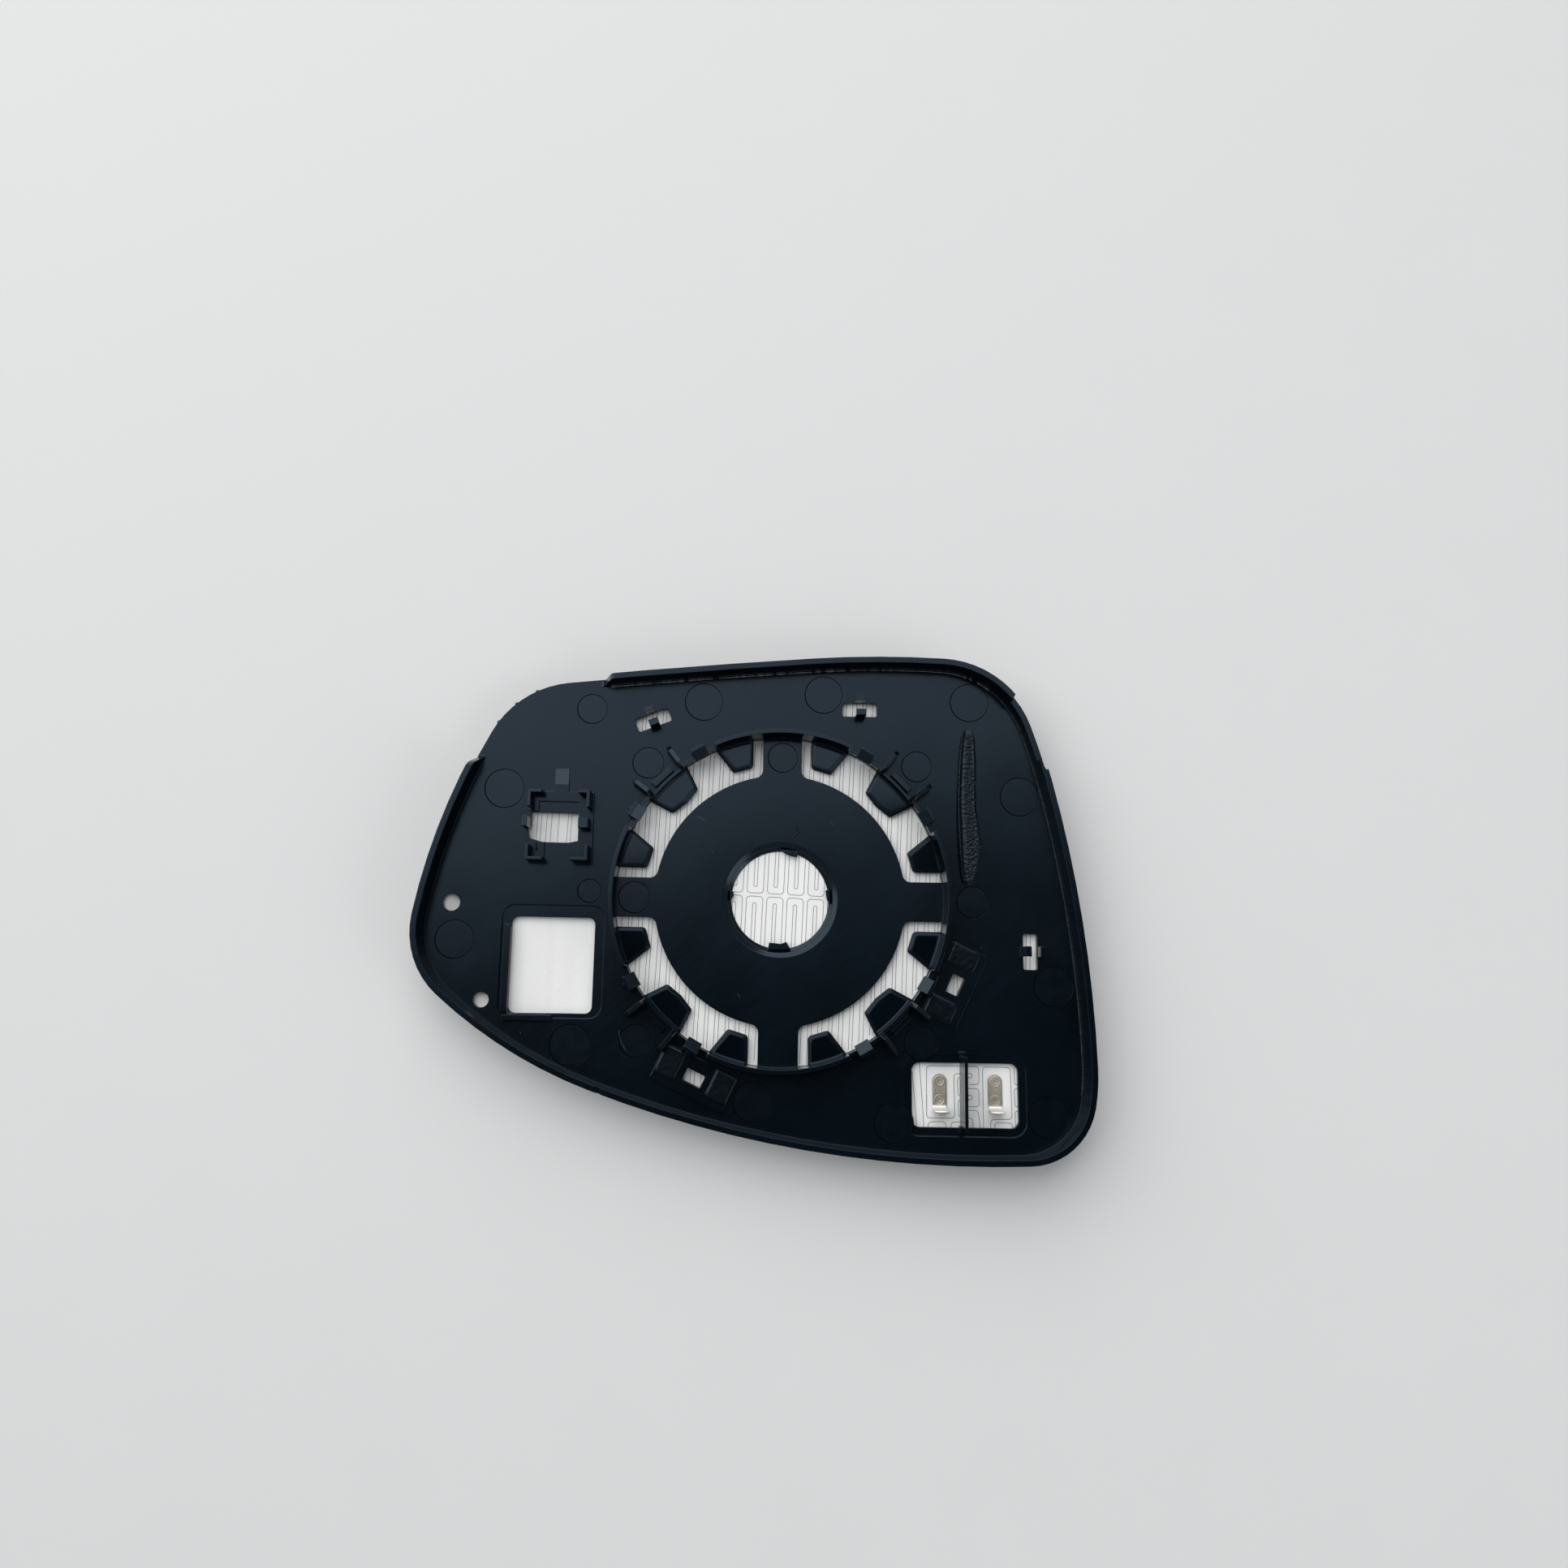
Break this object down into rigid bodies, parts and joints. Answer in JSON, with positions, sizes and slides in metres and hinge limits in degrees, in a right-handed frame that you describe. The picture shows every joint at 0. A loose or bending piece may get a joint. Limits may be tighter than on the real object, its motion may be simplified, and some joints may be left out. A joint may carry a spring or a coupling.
{
  "type": "door mirror glass",
  "caption": "Convex heated door mirror glass, bonded to a moulded plastic backing with a round clip ring, a skirt and two spade terminals on its back.",
  "frame": {"origin": "middle of the outline seen from the back, at the lowest point of the convex glass", "axes": "+Z out of the back, away from the glass; +X along the length, towards the tall end with the terminals; +Y across, towards the side away from the terminals"},
  "size_m": [0.1946, 0.1458, 0.0174],
  "materials": {
    "backing": "satin black moulding, glossy on the tongues",
    "glass": "mirrored on the far side, clear in front",
    "film": "silver-grey printed film",
    "terminal": "dull nickel plate",
    "sealant": "rough black sealant"
  },
  "bodies": {
    "root": {"backing_plate": "backing", "mirror_glass": "glass", "heater_film": "film", "terminal_left": "terminal", "terminal_right": "terminal", "sealant_strip": "sealant"}
  },
  "joints": []
}
